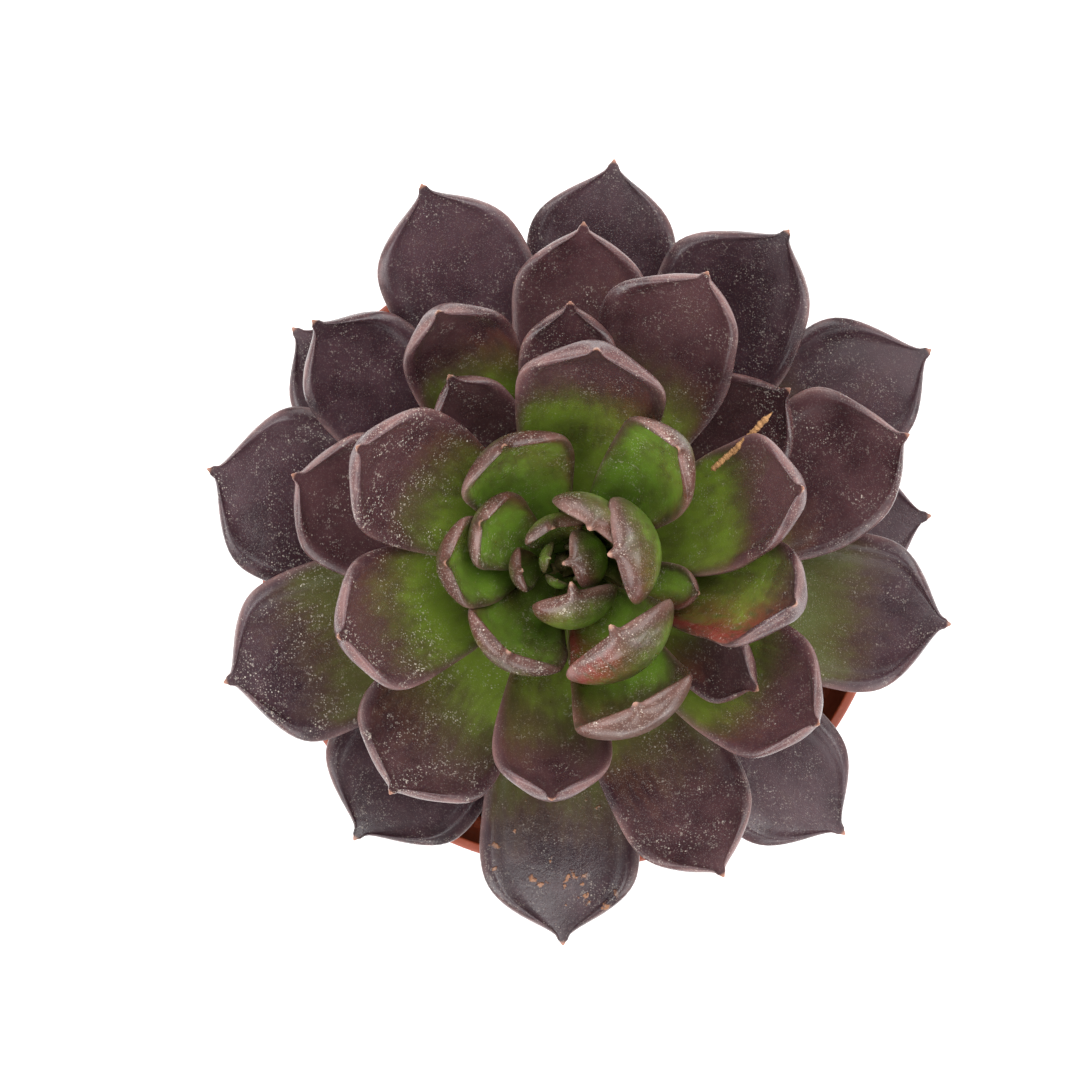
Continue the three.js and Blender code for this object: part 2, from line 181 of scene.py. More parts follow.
def mesh_object(name, points, faces, values=None):
    """A smooth-shaded object from points and faces, with a float attribute for each of values."""
    mesh = bpy.data.meshes.new(name)
    mesh.from_pydata(np.asarray(points).tolist(), [], faces)
    mesh.polygons.foreach_set("use_smooth", [True] * len(mesh.polygons))
    for key, value in (values or {}).items():
        layer = mesh.attributes.new(key, "FLOAT", "POINT")
        layer.data.foreach_set("value", np.broadcast_to(value, len(points)).astype(np.float32))
    made = bpy.data.objects.new(name, mesh)
    bpy.context.scene.collection.objects.link(made)
    return made


def loft_faces(rows, columns):
    """Faces over a grid of rows that each run round, and over its two ends."""
    faces = []
    for i in range(rows - 1):
        for j in range(columns):
            a, b = i * columns + j, i * columns + (j + 1) % columns
            faces.append((a, b, b + columns, a + columns))
    faces.append(tuple(reversed(range(columns))))
    faces.append(tuple(range((rows - 1) * columns, rows * columns)))
    return faces


def spline(x, y, at):
    """Natural cubic spline through y at x, read at other places."""
    x, y, at = np.asarray(x, float), np.asarray(y, float), np.asarray(at, float)
    n, h = len(x), np.diff(x)
    system, right = np.eye(n), np.zeros((n,) + y.shape[1:])
    for i in range(1, n - 1):
        system[i, i - 1 : i + 2] = h[i - 1], 2 * (h[i - 1] + h[i]), h[i]
        right[i] = 6 * ((y[i + 1] - y[i]) / h[i] - (y[i] - y[i - 1]) / h[i - 1])
    bend = np.linalg.solve(system, right)
    i = np.clip(np.searchsorted(x, at) - 1, 0, n - 2)
    shape = (-1,) + (1,) * (y.ndim - 1)
    step, a = h[i].reshape(shape), ((x[i + 1] - at) / h[i]).reshape(shape)
    b = 1 - a
    curve = (a**3 - a) * bend[i] + (b**3 - b) * bend[i + 1]
    inside = ((at >= x[0]) & (at <= x[-1])).reshape(shape)
    return a * y[i] + b * y[i + 1] + np.where(inside, curve, 0) * step**2 / 6


def unit(vectors):
    return vectors / np.linalg.norm(vectors, axis=-1, keepdims=True)


# ---- Reading a leaf from its CAD node ----


def heights_of(points):
    """The different heights at which points lie, from the lowest up."""
    return [float(z) for z in sorted(set(points[:, 2].round(5)))]


def joined_points(node):
    """A CAD node's points, each once, and each point's neighbours."""
    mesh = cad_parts[node].data
    points = np.round([v.co for v in mesh.vertices], 6)
    points, index = np.unique(points, axis=0, return_inverse=True)
    index = index.ravel()
    near = [set() for _ in points]
    for polygon in mesh.polygons:
        corners = {int(index[v]) for v in polygon.vertices}
        for corner in corners:
            near[corner] |= corners - {corner}
    return points, near


def leaf_sections(node):
    """A CAD leaf's sections from foot to tip, each with its points in order, and the tip's point."""
    points, near = joined_points(node)
    poles = [i for i, others in enumerate(near) if len(others) == AROUND]
    bulge = [np.linalg.norm(points[p] - points[list(near[p])].mean(0)) for p in poles]
    tip = poles[int(np.argmax(bulge))]
    seen, ring, rings = {tip}, near[tip], []
    while len(ring) == AROUND:
        walk = [min(ring)]
        while len(walk) < AROUND:
            walk.append(next(i for i in near[walk[-1]] if i in ring and i not in walk))
        rings.append(points[walk])
        seen |= ring
        ring = set().union(*(near[i] for i in ring)) - seen
    return rings[::-1], points[tip]


def oriented(ring, left, up):
    """A section's points, from its left margin over the upper face."""
    half = AROUND // 2
    spans = [np.linalg.norm(ring[i] - ring[i + half]) for i in range(half)]
    start = int(np.argmax(spans))
    if (ring[start] - ring[start + half]) @ left < 0:
        start += half
    ring = np.roll(ring, -start, axis=0)
    if (ring[1 : half].mean(0) - ring[half + 1 :].mean(0)) @ up < 0:
        ring = np.concatenate([ring[:1], ring[:0:-1]])
    return ring


def leaf_form(node, axis):
    """The stations of a CAD leaf: distance along it, centre, left, up, half width, thickness and cup."""
    rings, tip = leaf_sections(node)
    middles = np.array([ring.mean(0) for ring in rings])
    along = unit(middles[-1] - middles[0])
    outward = unit((middles[1] - axis) * (1, 1, 0))
    up = unit(np.array([0, 0, 1.0]) - outward)
    left = unit(np.cross(up, along))
    half_count = AROUND // 2
    stations = []
    for ring in rings:
        ring = oriented(ring, left, up)
        span = ring[0] - ring[half_count]
        half = np.linalg.norm(span) / 2
        left = unit(span)
        top, bottom = ring[2:4].mean(0), ring[7:9].mean(0)
        depth = (top - bottom) - ((top - bottom) @ left) * left
        up, thick = unit(depth), np.linalg.norm(depth) / DEPTH
        rise = ((ring[0] + ring[half_count]) / 2 - top) @ up
        cup = (rise + FLAT_AT * thick) / (1 - FLAT_REACH**2)
        stations.append((top - up * cup * FLAT_REACH**2, left, up, half, thick, cup))
    centre, left, up, half, thick, cup = (np.array(column) for column in zip(*stations))
    distance = np.concatenate([[0], np.cumsum(np.linalg.norm(np.diff(centre, axis=0), axis=1))])
    length = distance[-1] + np.linalg.norm(tip - middles[-1])
    return distance, centre, left, up, half, thick, cup, length


# ---- Building a leaf ----

# How a leaf ends, in millimetres for a full-grown leaf: how much shorter its blade is than the CAD's, the
# length and width of its point, and how broadly the one runs into the other. shoulder is how much fuller the
# blade is just before its end, as a share of its width, and power makes the end round (0.5) or pointed (1).
ENDS = {
    "outer": dict(blunt=1.0, point=3.6, width=4.0, blend=1.9, shoulder=0.07, power=0.9),
    "middle": dict(blunt=0.9, point=2.6, width=2.8, blend=1.5, shoulder=0.06, power=0.82),
    "inner": dict(blunt=0.9, point=2.8, width=2.6, blend=1.2, shoulder=0.0, power=0.7),
    "bud": dict(blunt=0.3, point=1.6, width=1.3, blend=0.5, shoulder=0.0, power=0.66),
}
FULL_WIDTH = 12 * MM  # from this width on, a leaf's end has its full size
LAST_READ = 7  # stations of the CAD's outline that are kept; the blade's own end follows them
LAST_STATION = 0.985  # where the CAD leaf's last section lies along it
SHOULDER_AT, SHOULDER_REACH = 0.8, 0.11  # along the leaf
# Leaves whose end is lopsided: how much fuller the left shoulder is, and how much leaner the right one.
LEANS = {
    "outer_leaf_05": 0.04,
    "outer_leaf_06": 0.1,
    "outer_leaf_08": 0.05,
    "outer_leaf_11": 0.05,
    "outer_leaf_12": 0.1,
    "middle_leaf_01": 0.08,
    "middle_leaf_08": 0.12,
    "middle_leaf_14": -0.08,
    "middle_leaf_17": 0.1,
}


def larger(a, b, blend):
    """The larger of two values, with a rounded change from one to the other."""
    share = np.clip(0.5 + (a - b) / (2 * blend), 0, 1)
    return b + (a - b) * share + blend * share * (1 - share)


def blade_width(s, length, distance, half, end, scale):
    """Half the width of a leaf's blade, without its point, at each distance s from its foot."""
    blade_end = distance[-1] / LAST_STATION - end["blunt"] * MM * scale
    outline = spline(
        np.append(distance[:LAST_READ], blade_end),
        np.append(half[:LAST_READ] ** (1 / end["power"]), 0),
        np.clip(s, 0, blade_end),
    )
    full = bell(s / length - SHOULDER_AT, SHOULDER_REACH)
    return np.clip(outline, 0, None) ** end["power"] * (1 + end["shoulder"] * full)


def point_width(left_over, end, scale):
    """Half the width of the small point that ends a leaf, at each distance before its tip."""
    spread = np.clip(left_over / (end["point"] * MM * scale), 0, POINT_SPREAD)
    return end["width"] * MM * scale / 2 * spread + TIP_HALF_WIDTH


def section_curve():
    """One section of a leaf, from its left margin over the upper face: each point's place across it, from 1
    to -1, its height as a share of the thickness, and its face, from 1 (upper) to -1 (lower)."""
    turn = np.arange(SECTION_POINTS) / SECTION_POINTS * 2 * np.pi
    face = np.sin(turn)
    upper = face >= 0
    power = 2 / np.where(upper, UPPER_POWER, LOWER_POWER)
    across = np.sign(np.cos(turn)) * np.abs(np.cos(turn)) ** power
    height = np.abs(face) ** power * np.where(upper, FLAT_AT, FLAT_AT - DEPTH) - FLAT_AT
    height += np.where(upper, RIM_HEIGHT, 0) * bell(np.abs(across) - RIM_AT, RIM_WIDTH)
    return across, height, face


def ripples(t, side, random):
    """How far a leaf's surface lies over or under its mean, and the same for its width. Each is a share of
    the ripple's size, at the share t along the leaf and the place side across it."""
    phase = random.uniform(0, 2 * np.pi, 6)
    hand = np.sign(side)
    wave = np.sin(2 * np.pi * FACE_WAVES * t + phase[0])
    wave = wave + 0.7 * np.sin(2 * np.pi * SHORT_WAVES * t + phase[1] + 2 * side)
    edge = np.sin(2 * np.pi * EDGE_WAVES * t + phase[2] + 1.9 * hand) * np.abs(side) ** 3
    width = np.sin(2 * np.pi * WIDTH_WAVES * t + phase[3] + 2.2 * hand)
    return 0.5 * wave + 1.4 * edge, width


def leaf_grid(node, ring_name, axis, random):
    """Points of a leaf in rows round it from foot to tip, the values that colour them, and each point's
    share along the leaf and its face."""
    distance, centre, left, up, half, thick, cup, length = leaf_form(node, axis)
    scale = min(1.0, half.max() * 2 / FULL_WIDTH)
    end = ENDS[ring_name]
    crowded = 1 - (1 - np.linspace(0, 1, SECTIONS)) ** TIP_CROWDING
    s = -FOOT + (length + FOOT) * crowded
    s[-1] = length - TIP_GAP
    left_over = length - s
    on_leaf = np.clip(s, 0, distance[-1])

    blade = blade_width(s, length, distance, half, end, scale)
    point = point_width(left_over, end, scale)
    wide = larger(blade, point, end["blend"] * MM * scale)
    wide = np.where(left_over < BARE_POINT, np.minimum(wide, point + BARE_SLACK), wide)
    taper = smooth(left_over, 0, THIN_REACH * scale)
    deep = spline(distance, thick, on_leaf) * (THIN_END + (1 - THIN_END) * taper)
    deep = np.maximum(deep, POINT_DEPTH * point * smooth(left_over, *POINT_ROUNDING))
    at = spline(distance, centre, s)
    heading = unit(spline(distance, left, on_leaf))
    upward = unit(spline(distance, up, on_leaf))
    cupped = np.clip(spline(distance, cup, on_leaf), 0, None)
    cupped *= wide / np.maximum(spline(distance, half, on_leaf), wide)

    across, through, face = section_curve()
    t, side = (s / length)[:, None], across[None, :]
    lift, swing = ripples(t, side, random)
    lift = RIPPLE * scale * lift * smooth(left_over[:, None], 0, RIPPLE_FREE)
    shoulders = bell(t - SHOULDER_AT, SHOULDER_REACH)
    swing = 1 + WIDTH_RIPPLE * swing + LEANS.get(node, 0) * shoulders * np.sign(side)

    out = wide[:, None] * side * swing
    high = deep[:, None] * through[None, :] + cupped[:, None] * side**2 + lift
    points = at[:, None] + heading[:, None] * out[..., None] + upward[:, None] * high[..., None]
    # The margin and edge bands: their colour is partly the leaf's own and partly a painted highlight.
    margin = bell(wide[:, None] * (1 - np.abs(side)), MARGIN_REACH) * (0.35 + 0.65 * side**2)
    values = dict(
        along=s[:, None] / MM,
        across=out / MM,
        margin=margin * smooth(t, -0.3, 0.9),
        edge=bell(np.abs(side) - 1, EDGE_REACH),
        point=bell(left_over[:, None], POINT_REACH * scale),
    )
    return points, values, t, face[None, :]


def build_leaf(node, axis, seed):
    ring_name = node.split("_")[0]
    random = np.random.default_rng(seed)
    points, values, t, face = leaf_grid(node, ring_name, axis, random)
    looks = {**RING_LOOKS[ring_name], **OWN_LOOKS.get(node, {})}
    over = smooth(face, -FACE_CHANGE, FACE_CHANGE)
    reach = looks["under"] + (looks["green"] - looks["under"]) * over
    right = smooth(-values["across"] / np.abs(values["across"]).max(), *RED_SIDE)
    values["green"] = 1 - smooth(t, reach - looks["soft"] / 2, reach + looks["soft"] / 2)
    values["under"] = 1 - over
    values["dust"] = looks["dust"]
    values["red"] = looks["red"] * right
    values["scab"] = looks["scab"]
    values["margin"] = values["margin"] * looks["rim"]
    values["tone"] = random.uniform(0, 1)
    flat = {key: np.broadcast_to(value, points.shape[:2]).ravel() for key, value in values.items()}
    leaf = mesh_object(node + "_leaf", points.reshape(-1, 3), loft_faces(SECTIONS, SECTION_POINTS), flat)
    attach(leaf, "root")
    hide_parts(node)
    return leaf


# ---- Materials ----

OLIVE_BROWN = srgb(66, 50, 40)
OLIVE = srgb(74, 72, 38)
RED_FLESH = srgb(112, 50, 42)
# Mauve skin of the lower face and margins; along the margins it is partly a painted highlight.
MAUVE_SKIN_AND_RIM_HIGHLIGHT = srgb(98, 62, 60)
# A pale line at the very edge of a leaf: pale papillae and a painted highlight.
PALE_EDGE_AND_HIGHLIGHT = srgb(165, 128, 122)
PALE_GRAIN = srgb(190, 166, 154)
DUST = srgb(225, 215, 200)
DRY_POINT = srgb(150, 112, 96)
SCAB = srgb(128, 88, 62)


class Shader:
    """A material's node tree, with short ways to add to it. Scales are per metre if no place is given."""

    def __init__(self, name, **surface):
        self.material = bpy.data.materials.new(name)
        self.material.use_nodes = True
        self.tree = self.material.node_tree
        self.surface = self.tree.nodes["Principled BSDF"]
        for key, value in surface.items():
            self.surface.inputs[key.replace("_", " ")].default_value = value
        self.place = self.node("ShaderNodeTexCoord").outputs["Object"]

    def node(self, kind, inputs=None, **settings):
        made = self.tree.nodes.new(kind)
        for key, value in settings.items():
            setattr(made, key, value)
        for key, value in (inputs or {}).items():
            self.feed(made.inputs[key], value)
        return made

    def feed(self, socket, value):
        if isinstance(value, bpy.types.NodeSocket):
            self.tree.links.new(value, socket)
        else:
            socket.default_value = value

    def attribute(self, name):
        return self.node("ShaderNodeAttribute", attribute_name=name).outputs["Fac"]

    def noise(self, scale, detail, place=None, roughness=0.55):
        inputs = {"Vector": place or self.place, "Scale": scale, "Detail": detail, "Roughness": roughness}
        return self.node("ShaderNodeTexNoise", inputs).outputs["Fac"]

    def cells(self, scale, output="Distance"):
        inputs = {"Vector": self.place, "Scale": scale}
        return self.node("ShaderNodeTexVoronoi", inputs, feature="F1").outputs[output]

    def specks(self, scale, size, share):
        """Round specks, one in each of a share of the cells. size is a share of a cell's width."""
        chance = self.node("ShaderNodeSeparateColor", {0: self.cells(scale, "Color")}).outputs[0]
        kept = self.band(chance, 1 - share, 1.01 - share)
        return self.times(self.band(self.cells(scale), size, size / 2), kept)

    def math(self, operation, a, b):
        made = self.node("ShaderNodeMath", {0: a, 1: b}, operation=operation)
        return made.outputs[0]

    def times(self, a, b):
        return self.math("MULTIPLY", a, b)

    def sum(self, first, *more):
        for value in more:
            first = self.math("ADD", first, value)
        return first

    def swing(self, value, size):
        """A value that runs from 0 to 1, moved to run about 0 and scaled by size."""
        return self.times(self.math("SUBTRACT", value, 0.5), size)

    def band(self, value, low, high, start=0.0, end=1.0):
        """start where value is below low, end where it is above high, and a smooth change between."""
        inputs = {"Value": value, "From Min": low, "From Max": high, "To Min": start, "To Max": end}
        return self.node("ShaderNodeMapRange", inputs, interpolation_type="SMOOTHSTEP").outputs[0]

    def mix(self, factor, a, b):
        made = self.node("ShaderNodeMix", data_type="RGBA")
        for index, value in ((0, factor), (6, a), (7, b)):
            self.feed(made.inputs[index], value)
        return made.outputs[2]

    def ramp(self, factor, stops):
        made = self.node("ShaderNodeValToRGB", {"Fac": factor})
        steps = made.color_ramp.elements
        while len(steps) < len(stops):
            steps.new(0.5)
        for step, (place, colour) in zip(steps, stops):
            step.position, step.color = place, colour
        return made.outputs["Color"]

    def stack(self, *places):
        """One vector from three values."""
        inputs = dict(zip(("X", "Y", "Z"), places))
        return self.node("ShaderNodeCombineXYZ", inputs).outputs[0]

    def bump(self, height, distance, strength, under=None):
        inputs = {"Height": height, "Distance": distance, "Strength": strength}
        made = self.node("ShaderNodeBump", inputs)
        if under is not None:
            self.feed(made.inputs["Normal"], under)
        return made.outputs["Normal"]

    def finish(self, colour, roughness, normal=None):
        self.feed(self.surface.inputs["Base Color"], colour)
        self.feed(self.surface.inputs["Roughness"], roughness)
        if normal is not None:
            self.feed(self.surface.inputs["Normal"], normal)
        return self.material


def leaf_purple(shade, tone, cloud, mottle, dark, light):
    """Purple flesh, cloudy from dark to light. Each leaf has its own depth of colour."""
    depth = shade.sum(shade.times(tone, 0.14), shade.times(mottle, 0.35), shade.times(cloud, 0.6))
    return shade.mix(shade.band(depth, 0.32, 0.76), dark, light)


def leaf_greenness(shade, streaks, cloud, mottle, margin):
    """How green the flesh is: green gives way along the leaf, unevenly and sooner at the margins."""
    drift = shade.sum(shade.swing(streaks, 0.5), shade.swing(cloud, 0.7), shade.swing(mottle, 0.3))
    greenness = shade.sum(shade.attribute("green"), drift)
    return shade.math("SUBTRACT", greenness, shade.times(margin, 0.7))


def leaf_flesh(shade, purple, greenness, streaks, vivid):
    """Purple that turns brown, olive and green, with a red blush where purple and green meet."""
    flesh = shade.mix(shade.band(greenness, 0.05, 0.55), purple, OLIVE_BROWN)
    flesh = shade.mix(shade.band(greenness, 0.35, 0.8), flesh, OLIVE)
    flesh = shade.mix(shade.band(greenness, 0.65, 1.2), flesh, vivid)
    reddish = shade.times(shade.attribute("red"), shade.band(streaks, 0.25, 0.6))
    between = shade.times(shade.band(greenness, 0.0, 0.3), shade.band(greenness, 1.2, 0.8))
    return shade.mix(shade.times(reddish, between), flesh, RED_FLESH)


def leaf_dust(shade):
    """Scattered bright specks in drifts, with finer ones between."""
    drifts = shade.band(shade.noise(190, 4, roughness=0.7), 0.46, 0.62, 0.1, 1.0)
    coarse = shade.specks(1200, 0.2, 0.22)
    small = shade.times(shade.specks(2600, 0.34, 0.6), 0.55)
    flecks = shade.band(shade.noise(1500, 3, roughness=0.75), 0.58, 0.68, 0.0, 0.5)
    dust = shade.math("MAXIMUM", shade.math("MAXIMUM", coarse, small), flecks)
    return shade.times(dust, shade.times(drifts, shade.attribute("dust")))


def leaf_scabs(shade):
    """Dry brown scabs in a few clusters, on the leaves that have them."""
    spots = shade.band(shade.noise(420, 3), 0.63, 0.68)
    clusters = shade.band(shade.noise(70, 2), 0.5, 0.56)
    return shade.times(shade.times(spots, clusters), shade.attribute("scab"))


def leaf_material(name, dark, light, vivid, bloom):
    """Purple flesh that turns green towards the foot, with mauve margins and a pale edge line that are
    partly a painted highlight, a dry point and fine dust. bloom is how pale the skin of the lower face is."""
    shade = Shader(name, Specular_IOR_Level=0.4, Subsurface_Weight=0.05, Subsurface_Scale=0.002)
    tone, margin, under = (shade.attribute(key) for key in ("tone", "margin", "under"))
    across, along = (shade.attribute(key) for key in ("across", "along"))
    lengthwise = shade.stack(shade.times(across, 2.2), shade.times(along, 0.7), shade.times(tone, 40.0))
    streaks = shade.noise(0.35, 3, lengthwise)
    mottle, cloud, fine = shade.noise(300, 4), shade.noise(90, 3), shade.noise(2600, 2)

    purple = leaf_purple(shade, tone, cloud, mottle, dark, light)
    greenness = leaf_greenness(shade, streaks, cloud, mottle, margin)
    flesh = leaf_flesh(shade, purple, greenness, streaks, vivid)

    # The margin's band is redder and paler, partly its own mauve colour and partly a painted highlight. The
    # lower face's skin is redder and paler too.
    rim = shade.band(margin, 0.25, 0.95)
    flesh = shade.mix(shade.times(rim, shade.band(mottle, 0.38, 0.66, 0.0, 0.3)), flesh, MAUVE_SKIN_AND_RIM_HIGHLIGHT)
    # A thin pale line at the very edge: pale papillae and a painted highlight.
    edge = shade.times(shade.attribute("edge"), shade.band(cloud, 0.4, 0.6, 0.02, 0.26))
    flesh = shade.mix(edge, flesh, PALE_EDGE_AND_HIGHLIGHT)
    skin = shade.times(shade.times(under, bloom), shade.band(greenness, 0.6, 0.1))
    flesh = shade.mix(skin, flesh, MAUVE_SKIN_AND_RIM_HIGHLIGHT)

    # Papillae: a fine pale grain, strongest on the lower face and the margins.
    grain = shade.band(shade.cells(3200), 0.36, 0.12)
    grain_weight = shade.sum(shade.times(under, 0.22), shade.times(rim, 0.1), 0.07)
    flesh = shade.mix(shade.times(grain, grain_weight), flesh, PALE_GRAIN)

    dust, scab = leaf_dust(shade), leaf_scabs(shade)
    flesh = shade.mix(shade.times(dust, 0.85), flesh, DUST)
    flesh = shade.mix(scab, flesh, SCAB)
    flesh = shade.mix(shade.band(shade.attribute("point"), 0.3, 0.95), flesh, DRY_POINT)

    rough = shade.sum(shade.band(cloud, 0.3, 0.7, 0.25, 0.36), shade.times(dust, 0.3))
    normal = shade.bump(mottle, 0.3 * MM, 0.3)
    normal = shade.bump(fine, 0.05 * MM, 0.35, normal)
    normal = shade.bump(grain, 0.03 * MM, 0.6, normal)
    normal = shade.bump(scab, 0.15 * MM, 0.7, normal)
    return shade.finish(flesh, rough, normal)


def plastic_material():
    """Moulded terracotta-coloured plastic: faint flow marks, fine scuffs and smears of soil."""
    shade = Shader("pot_plastic", Specular_IOR_Level=0.5, Subsurface_Weight=0.05, Subsurface_Scale=0.001)
    flow = shade.noise(35, 4)
    scuff = shade.noise(900, 3)
    colour = shade.mix(shade.band(flow, 0.35, 0.7), srgb(138, 60, 34), srgb(124, 50, 28))
    colour = shade.mix(shade.times(shade.band(scuff, 0.6, 0.72), 0.2), colour, srgb(176, 104, 76))
    smear = shade.times(shade.band(shade.noise(60, 4), 0.52, 0.72), 0.22)
    colour = shade.mix(smear, colour, srgb(104, 66, 46))
    rough = shade.band(shade.noise(180, 3), 0.3, 0.7, 0.36, 0.52)
    normal = shade.bump(shade.noise(2200, 2), 0.03 * MM, 0.5)
    normal = shade.bump(flow, 0.2 * MM, 0.1, normal)
    return shade.finish(colour, rough, normal)


def soil_material():
    """Dark peat with brown fibres and paler crumbs."""
    shade = Shader("potting_soil", Specular_IOR_Level=0.2)
    clods = shade.noise(500, 6, roughness=0.7)
    colour = shade.ramp(clods, [(0.3, srgb(22, 15, 12)), (0.5, srgb(50, 35, 26)), (0.7, srgb(96, 70, 50))])
    colour = shade.mix(shade.band(shade.cells(900), 0.14, 0.06), colour, srgb(140, 112, 84))
    normal = shade.bump(clods, 0.8 * MM, 0.9)
    return shade.finish(colour, 0.92, normal)


def fibre_material(name, pale, dark):
    """Dry plant fibre, streaked and cracked."""
    shade = Shader(name, Specular_IOR_Level=0.25)
    streak = shade.noise(1400, 4, roughness=0.7)
    colour = shade.ramp(streak, [(0.3, dark), (0.62, pale)])
    return shade.finish(colour, 0.8, shade.bump(streak, 0.15 * MM, 0.8))


def stem_material():
    """Woody green-brown stem with pale leaf scars."""
    shade = Shader("stem", Specular_IOR_Level=0.3)
    bark = shade.noise(420, 5, roughness=0.65)
    stops = [(0.3, srgb(70, 62, 38)), (0.55, srgb(118, 104, 66)), (0.75, srgb(150, 132, 96))]
    colour = shade.ramp(bark, stops)
    colour = shade.mix(shade.attribute("scar"), colour, srgb(170, 146, 110))
    return shade.finish(colour, 0.7, shade.bump(bark, 0.4 * MM, 0.7))


def floor_material():
    shade = Shader("floor", Specular_IOR_Level=0.2)
    tint = shade.mix(shade.noise(6, 2), (0.9, 0.9, 0.9, 1), (0.88, 0.88, 0.88, 1))
    return shade.finish(tint, 0.8)


# ---- The pot ----


def rounded(corners, steps=5):
    """A profile's points, with each [radius, height, rounding] corner drawn as an arc-like curve."""
    points = []
    for i, (r, z, rounding) in enumerate(corners):
        here = np.array([r, z])
        if rounding == 0 or i in (0, len(corners) - 1):
            points.append(here)
            continue
        before = np.array(corners[i - 1][:2]) - here
        after = np.array(corners[i + 1][:2]) - here
        a = here + unit(before) * min(rounding, np.linalg.norm(before) / 2)
        b = here + unit(after) * min(rounding, np.linalg.norm(after) / 2)
        for k in range(steps + 1):
            u = k / steps
            points.append((1 - u) ** 2 * a + 2 * u * (1 - u) * here + u**2 * b)
    return np.array(points)


def pot_levels():
    """The pot's heights and, at each, its outermost and innermost radius beyond the drain holes."""
    points, _ = joined_points("nursery_pot")
    radius = np.hypot(points[:, 0], points[:, 1])
    beyond_holes = radius > HOLE_ZONE[1] * radius.max()
    levels = {}
    for z in heights_of(points):
        here = radius[(np.abs(points[:, 2] - z) < SAME) & beyond_holes]
        if len(here):
            levels[z] = (float(here.max()), float(here.min()))
    return levels


def turned(profile, segments):
    """Points and faces of a closed profile turned about Z. The profile's ends lie on the axis."""
    angles = np.arange(segments) / segments * 2 * np.pi
    ring = np.stack([np.cos(angles), np.sin(angles)], axis=1)
    body = profile[1:-1]
    points = [np.array([0, 0, profile[0][1]])]
    for r, z in body:
        points += [np.array([r * c, r * s, z]) for c, s in ring]
    points.append(np.array([0, 0, profile[-1][1]]))
    faces = []
    last = len(points) - 1
    for j in range(segments):
        k = (j + 1) % segments
        faces.append((0, 1 + k, 1 + j))
        for i in range(len(body) - 1):
            a, b = 1 + i * segments + j, 1 + i * segments + k
            faces.append((a, b, b + segments, a + segments))
        faces.append((last, last - segments + j, last - segments + k))
    return np.array(points), faces


def drain_holes():
    """Centres and radius of the holes in the pot's floor, from the CAD pot."""
    points, _ = joined_points("nursery_pot")
    radius = np.hypot(points[:, 0], points[:, 1])
    low, high = HOLE_ZONE[0] * radius.max(), HOLE_ZONE[1] * radius.max()
    edges = points[(radius > low) & (radius < high)]
    reach = np.hypot(edges[:, 0], edges[:, 1])
    turn = 2 * np.pi / HOLE_PLACES
    places = np.round(np.arctan2(edges[:, 1], edges[:, 0]) / turn).astype(int) % HOLE_PLACES
    middle, hole = (reach.max() + reach.min()) / 2, (reach.max() - reach.min()) / 2
    angles = [k * turn for k in sorted(set(places.tolist()))]
    return [(middle * math.cos(a), middle * math.sin(a)) for a in angles], hole


def cut_holes(pot, centres, radius):
    """Cut round holes of that radius through the pot's floor."""
    for index, (x, y) in enumerate(centres):
        bpy.ops.mesh.primitive_cylinder_add(vertices=HOLE_SIDES, radius=radius, depth=CUTTER_LENGTH)
        cutter = bpy.context.object
        cutter.location = (x, y, 0)
        cutter.rotation_euler.z = math.pi / HOLE_SIDES
        cut = pot.modifiers.new(f"hole_{index}", "BOOLEAN")
        cut.object, cut.operation, cut.solver = cutter, "DIFFERENCE", "EXACT"
    bpy.context.view_layer.update()
    seen = pot.evaluated_get(bpy.context.evaluated_depsgraph_get())
    mesh = bpy.data.meshes.new_from_object(seen)
    cutters = [m.object for m in pot.modifiers]
    pot.modifiers.clear()
    pot.data = mesh
    for cutter in cutters:
        bpy.data.objects.remove(cutter)


def build_pot():
    levels = pot_levels()
    foot, recess, floor_top, collar_foot, collar_out, collar_in, lip_foot, rim = levels
    outer = {height: pair[0] for height, pair in levels.items()}
    inner = {height: pair[1] for height, pair in levels.items()}
    lip = outer[lip_foot] - UNDERCUT
    # The profile's corners: radius, height and rounding.
    corners = [
        (0, recess, 0),
        (inner[recess], recess, 0.8 * MM),
        (inner[foot], foot, 0.5 * MM),
        (outer[foot], foot, 0.9 * MM),
        (outer[collar_foot], collar_foot, 0.7 * MM),
        (outer[collar_out], collar_out, 0.6 * MM),
        (lip, lip_foot, 0.3 * MM),
        (outer[rim], lip_foot, 0.5 * MM),
        (outer[rim], rim, 0.6 * MM),
        (inner[rim], rim, 0.4 * MM),
        (inner[collar_in], collar_in, 0.5 * MM),
        (inner[collar_out], collar_out, 0.5 * MM),
        (inner[floor_top], floor_top, 1.2 * MM),
        (0, floor_top, 0),
    ]
    pot = mesh_object("pot_shell", *turned(rounded(corners), POT_SEGMENTS))
    cut_holes(pot, *drain_holes())
    pot.data.set_sharp_from_angle(angle=SHARP_ANGLE)
    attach(pot, "root")
    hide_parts("nursery_pot")
    pot.data.materials.clear()
    pot.data.materials.append(plastic_material())


# ---- The soil, the stem and the twig ----


def waves(points, random, count, shortest, longest):
    """A smooth random height at each point, mostly from -1 to 1, as a sum of waves of those lengths."""
    total = np.zeros(len(points))
    for _ in range(count):
        length = random.uniform(shortest, longest)
        way = unit(random.normal(size=3))
        total += np.sin(points @ way * 2 * np.pi / length + random.uniform(0, 2 * np.pi))
    return total / math.sqrt(count)


